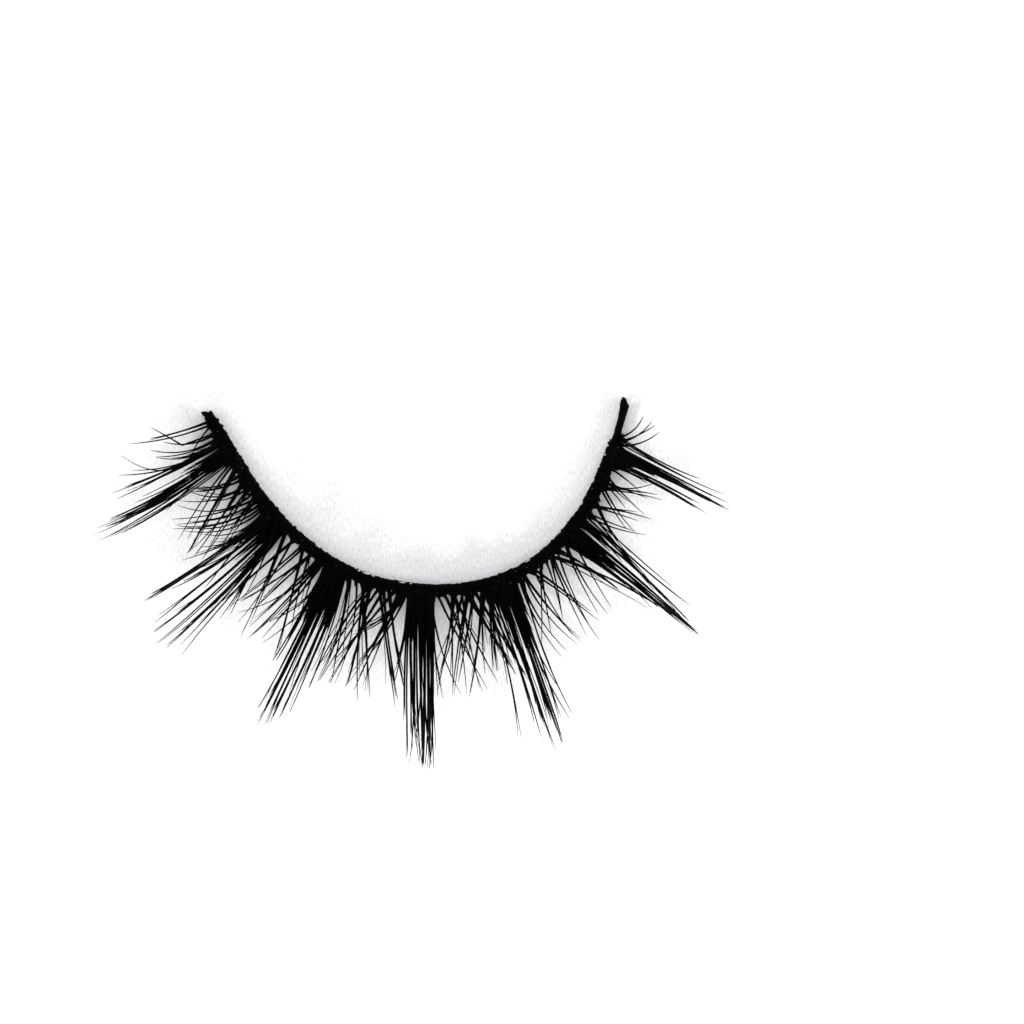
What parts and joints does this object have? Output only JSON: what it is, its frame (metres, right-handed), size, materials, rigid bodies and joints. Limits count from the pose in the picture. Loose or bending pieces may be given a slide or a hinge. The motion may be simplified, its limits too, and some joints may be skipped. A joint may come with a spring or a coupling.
{
  "type": "false eyelash strip",
  "caption": "Black strip false eyelash: a curved thread band with a flat underside, long pointed spikes of curled fibre and shorter criss-cross fills between them.",
  "frame": {"origin": "on the band's flat underside, halfway along its curved centre line", "axes": "+X from the outer corner's end towards the inner corner's end, +Y towards the band's two ends, fibres leave towards -Y and curl up towards +Z"},
  "size_m": [0.0343, 0.0199, 0.0063],
  "materials": {
    "band": "black cotton thread set in dried glue, satin, with small stitch wraps",
    "fibre": "fine black synthetic hair, tapered, soft silky gloss"
  },
  "bodies": {
    "root": {"band": "band", "spike_1": "fibre", "spike_2": "fibre", "spike_3": "fibre", "spike_4": "fibre", "spike_5": "fibre", "spike_6": "fibre", "spike_7": "fibre", "fill_1": "fibre", "fill_2": "fibre", "fill_3": "fibre", "fill_4": "fibre", "fill_5": "fibre", "fill_6": "fibre", "outer_corner_hairs": "fibre", "inner_corner_hairs": "fibre"}
  },
  "joints": []
}
